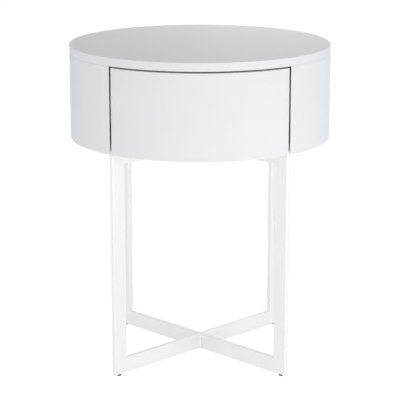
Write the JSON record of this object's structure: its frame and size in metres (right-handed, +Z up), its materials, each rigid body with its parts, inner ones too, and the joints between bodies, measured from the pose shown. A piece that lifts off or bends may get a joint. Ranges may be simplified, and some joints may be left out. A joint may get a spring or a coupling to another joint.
{
  "type": "round nightstand",
  "caption": "Round nightstand: a drum with a curved push-open drawer on ball-bearing runners, carried by crossed frames of rectangular tube.",
  "frame": {"origin": "on the floor, under the middle of the drum", "axes": "+Z up; -Y is the side that the drawer front faces and opens towards; +X to the right seen from that side"},
  "size_m": [0.5, 0.5, 0.619],
  "materials": {
    "white_lacquer": "satin white lacquer over fibreboard",
    "white_board": "matt white melamine-faced board",
    "bare_wood": "bare sanded beech",
    "white_powder_coat": "satin white powder coat",
    "zinc_steel": "bright zinc plate",
    "bright_steel": "polished ball steel",
    "black_nylon": "matt black nylon",
    "grey_plastic": "matt grey plastic"
  },
  "bodies": {
    "cabinet": {"top_panel": "white_lacquer", "drum_shell": "white_lacquer", "floor_panel": "white_lacquer", "partition_left": "white_board", "partition_right": "white_board", "upright_front_left": "white_powder_coat", "upright_front_right": "white_powder_coat", "upright_back_left": "white_powder_coat", "upright_back_right": "white_powder_coat", "base_bar_long": "white_powder_coat", "base_bar_back_left": "white_powder_coat", "base_bar_front_right": "white_powder_coat", "top_bar_long": "white_powder_coat", "top_bar_back_left": "white_powder_coat", "top_bar_front_right": "white_powder_coat", "crossing_welds": "white_powder_coat", "frame_bolts": "zinc_steel", "glide_nuts": "zinc_steel", "runner_left_cabinet_member": "zinc_steel", "runner_right_cabinet_member": "zinc_steel", "latch_spacer": "grey_plastic", "latch_housing": "grey_plastic"},
    "drawer": {"drawer_front": "white_lacquer", "drawer_side_left": "white_board", "drawer_side_right": "white_board", "drawer_back": "white_board", "drawer_bottom": "white_board", "glue_block_left": "bare_wood", "glue_block_right": "bare_wood", "runner_left_drawer_member": "zinc_steel", "runner_right_drawer_member": "zinc_steel"},
    "latch_plunger": {"latch_plunger": "grey_plastic"},
    "runner_left_middle": {"runner_left_middle_member": "zinc_steel"},
    "runner_left_outer_row": {"runner_left_outer_cage": "zinc_steel", "runner_left_outer_balls": "bright_steel"},
    "runner_left_inner_row": {"runner_left_inner_cage": "zinc_steel", "runner_left_inner_balls": "bright_steel"},
    "runner_right_middle": {"runner_right_middle_member": "zinc_steel"},
    "runner_right_outer_row": {"runner_right_outer_cage": "zinc_steel", "runner_right_outer_balls": "bright_steel"},
    "runner_right_inner_row": {"runner_right_inner_cage": "zinc_steel", "runner_right_inner_balls": "bright_steel"},
    "glide_front_left": {"glide_front_left": "black_nylon"},
    "glide_front_right": {"glide_front_right": "black_nylon"},
    "glide_back_left": {"glide_back_left": "black_nylon"},
    "glide_back_right": {"glide_back_right": "black_nylon"}
  },
  "joints": [
    {"name": "drawer_slide", "type": "slide", "parent": "cabinet", "child": "drawer", "axis": [0, -1, 0], "range_m": [0, 0.3]},
    {"name": "runner_left_outer_row_slide", "type": "slide", "parent": "cabinet", "child": "runner_left_outer_row", "axis": [0, -1, 0], "range_m": [0, 0.075]},
    {"name": "runner_left_middle_slide", "type": "slide", "parent": "cabinet", "child": "runner_left_middle", "axis": [0, -1, 0], "range_m": [0, 0.15]},
    {"name": "runner_left_inner_row_slide", "type": "slide", "parent": "cabinet", "child": "runner_left_inner_row", "axis": [0, -1, 0], "range_m": [0, 0.225]},
    {"name": "runner_right_outer_row_slide", "type": "slide", "parent": "cabinet", "child": "runner_right_outer_row", "axis": [0, -1, 0], "range_m": [0, 0.075]},
    {"name": "runner_right_middle_slide", "type": "slide", "parent": "cabinet", "child": "runner_right_middle", "axis": [0, -1, 0], "range_m": [0, 0.15]},
    {"name": "runner_right_inner_row_slide", "type": "slide", "parent": "cabinet", "child": "runner_right_inner_row", "axis": [0, -1, 0], "range_m": [0, 0.225]},
    {"name": "latch_plunger_press", "type": "slide", "parent": "cabinet", "child": "latch_plunger", "axis": [0, 1, 0], "range_m": [0, 0.003], "stiffness_N_per_m": 300, "springref_m": -0.01},
    {"name": "glide_front_left_turn", "type": "hinge", "parent": "cabinet", "child": "glide_front_left", "pos_m": [-0.15542, -0.15542, 0.003], "axis": [0, 0, 1], "continuous": true},
    {"name": "glide_front_right_turn", "type": "hinge", "parent": "cabinet", "child": "glide_front_right", "pos_m": [0.15542, -0.15542, 0.003], "axis": [0, 0, 1], "continuous": true},
    {"name": "glide_back_left_turn", "type": "hinge", "parent": "cabinet", "child": "glide_back_left", "pos_m": [-0.15542, 0.15542, 0.003], "axis": [0, 0, 1], "continuous": true},
    {"name": "glide_back_right_turn", "type": "hinge", "parent": "cabinet", "child": "glide_back_right", "pos_m": [0.15542, 0.15542, 0.003], "axis": [0, 0, 1], "continuous": true}
  ],
  "couplings": [
    {"joint": "runner_left_outer_row_slide", "follows": "drawer_slide", "ratio": 0.25},
    {"joint": "runner_left_middle_slide", "follows": "drawer_slide", "ratio": 0.5},
    {"joint": "runner_left_inner_row_slide", "follows": "drawer_slide", "ratio": 0.75},
    {"joint": "runner_right_outer_row_slide", "follows": "drawer_slide", "ratio": 0.25},
    {"joint": "runner_right_middle_slide", "follows": "drawer_slide", "ratio": 0.5},
    {"joint": "runner_right_inner_row_slide", "follows": "drawer_slide", "ratio": 0.75}
  ]
}
